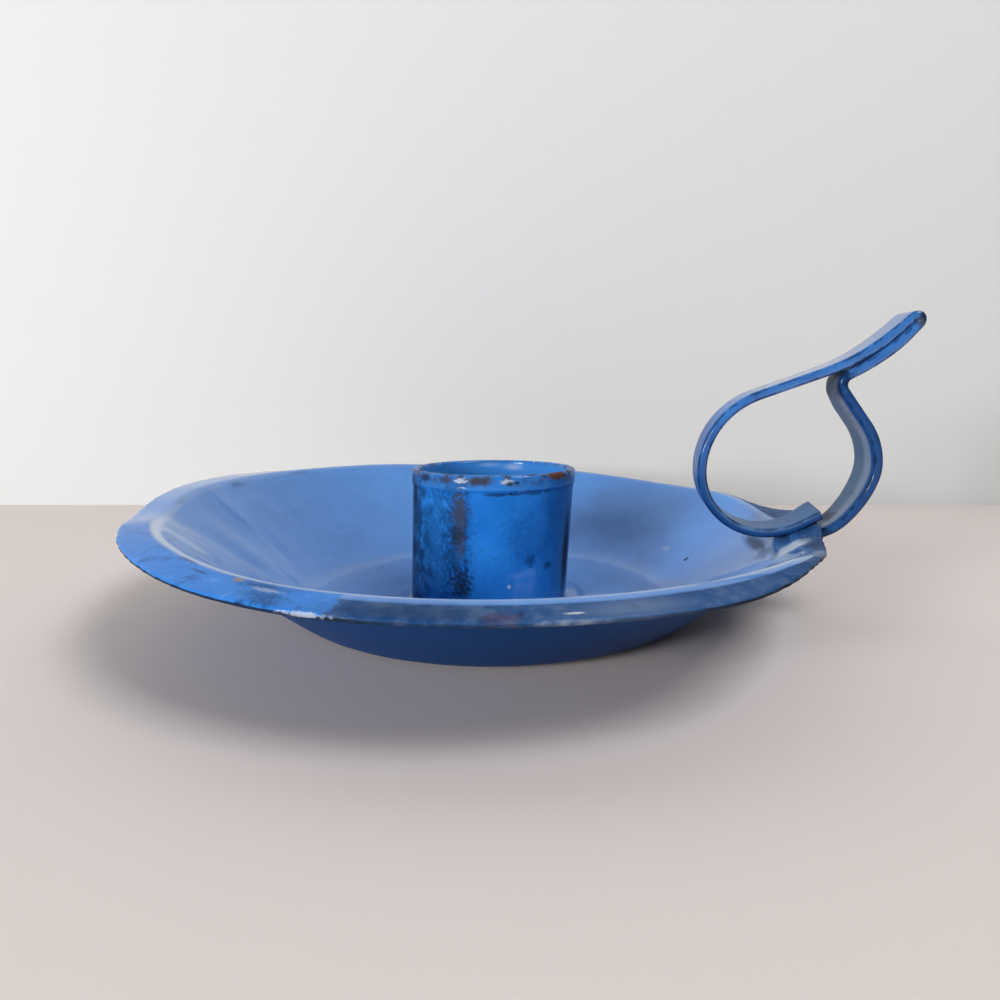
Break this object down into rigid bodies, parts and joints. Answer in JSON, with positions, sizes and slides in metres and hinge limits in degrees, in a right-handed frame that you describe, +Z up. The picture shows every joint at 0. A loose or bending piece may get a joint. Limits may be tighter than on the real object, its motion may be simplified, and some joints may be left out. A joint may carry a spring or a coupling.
{
  "type": "chamberstick with finger loop",
  "caption": "Round shallow dish with a turned rim, a short candle socket riveted in its middle and a bent strap finger loop with a thumb rest on the rim.",
  "frame": {"origin": "middle of the dish's flat base, on the table", "axes": "+Z up along the candle socket's axis, +X towards the finger loop, +Y to the left when looking along +X"},
  "size_m": [0.1283, 0.12, 0.0499],
  "materials": {
    "blue_enamel": "glossy cornflower-blue vitreous enamel on pressed sheet steel, worn and chipped to dark steel along the rim",
    "blue_enamel_socket": "glossy blue vitreous enamel with dark speckled wear along the seam and chips on the lip",
    "blue_enamel_strap": "glossy blue vitreous enamel with dark worn edges"
  },
  "bodies": {
    "root": {"dish": "blue_enamel", "socket": "blue_enamel_socket", "centre_rivet": "blue_enamel_socket", "handle_strap": "blue_enamel_strap", "handle_rivet": "blue_enamel_strap"}
  },
  "joints": []
}
